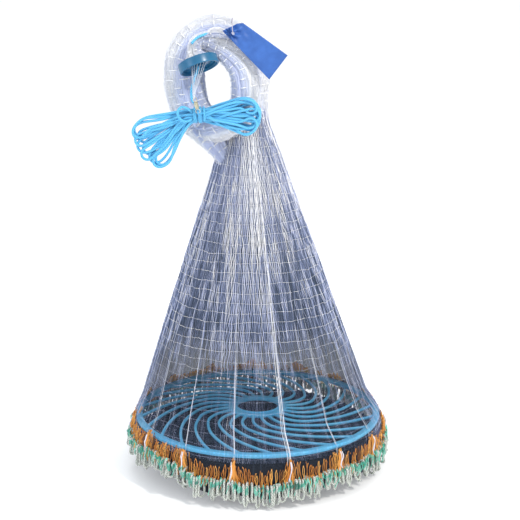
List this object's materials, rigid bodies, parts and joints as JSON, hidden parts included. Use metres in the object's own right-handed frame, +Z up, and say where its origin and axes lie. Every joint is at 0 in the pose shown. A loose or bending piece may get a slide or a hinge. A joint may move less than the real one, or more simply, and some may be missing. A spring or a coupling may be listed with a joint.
{
  "type": "cast net",
  "caption": "Hanging hand-throw cast net: gathered netting cone over a spoked flying disc, leaded hem, coiled top, collar, swivel, hank of hand line and tag.",
  "frame": {"origin": "the hanging point: the top of the hole in the coiled netting, where a hook or peg bears", "axes": "+Z up along the hanging net, -Y towards the side that carries the hank of hand line, +X to the right seen from that side"},
  "size_m": [0.48, 0.48, 0.8104],
  "materials": {
    "netting": "knotted nylon monofilament",
    "disc": "moulded plastic",
    "brail": "nylon cord",
    "selvage": "coarse twine netting",
    "lashing": "twisted twine",
    "lead_line": "braided lead-core rope",
    "collar": "moulded plastic",
    "leader": "clear monofilament",
    "eye_wire": "bright wire",
    "barrel": "satin",
    "hand_line": "braided cord",
    "tag": "creased card",
    "tie": "thin twine"
  },
  "bodies": {
    "net": {"net_panel_01": "netting", "net_panel_02": "netting", "net_panel_03": "netting", "net_panel_04": "netting", "net_panel_05": "netting", "net_panel_06": "netting", "net_panel_07": "netting", "net_panel_08": "netting", "net_panel_09": "netting", "net_panel_10": "netting", "net_panel_11": "netting", "net_panel_12": "netting", "net_panel_13": "netting", "net_panel_14": "netting", "net_panel_15": "netting", "net_coil_outer": "netting", "net_coil_inner": "netting", "brail_lines": "brail", "selvage_netting": "selvage", "lashing_twine": "lashing", "lead_line": "lead_line", "collar_ring": "collar", "leader_lines": "leader", "swivel_upper_eye": "eye_wire", "hand_line_lead": "hand_line", "hand_line_arc": "hand_line", "tag_tie": "tie"},
    "disc": {"disc_rim": "disc", "disc_spokes": "disc", "disc_hub": "disc"},
    "swivel_barrel": {"swivel_barrel": "barrel"},
    "swivel_lower": {"swivel_lower_eye": "eye_wire", "hand_line_end_knot": "hand_line"},
    "hank": {"hand_line_hank_left": "hand_line", "hand_line_hank_right": "hand_line", "hand_line_waist_wrap": "hand_line", "hand_line_bow": "hand_line"},
    "tag": {"tag": "tag"}
  },
  "joints": [
    {"name": "disc_turn", "type": "hinge", "parent": "net", "child": "disc", "pos_m": [0.07, 0, -0.645], "axis": [0, 0, 1], "continuous": true},
    {"name": "swivel_barrel_spin", "type": "hinge", "parent": "net", "child": "swivel_barrel", "pos_m": [-0.033, -0.094, -0.063], "axis": [-0.2419, 0, 0.9703], "continuous": true},
    {"name": "swivel_eye_spin", "type": "hinge", "parent": "swivel_barrel", "child": "swivel_lower", "pos_m": [-0.033, -0.094, -0.063], "axis": [-0.2419, 0, 0.9703], "continuous": true},
    {"name": "hank_swing", "type": "hinge", "parent": "net", "child": "hank", "pos_m": [-0.034, -0.076, -0.074], "axis": [0, -1, 0], "range_deg": [-8, 8]},
    {"name": "tag_swing", "type": "hinge", "parent": "net", "child": "tag", "pos_m": [0.029, -0.0745, 0.056], "axis": [0, -1, 0], "range_deg": [0, 35]}
  ]
}
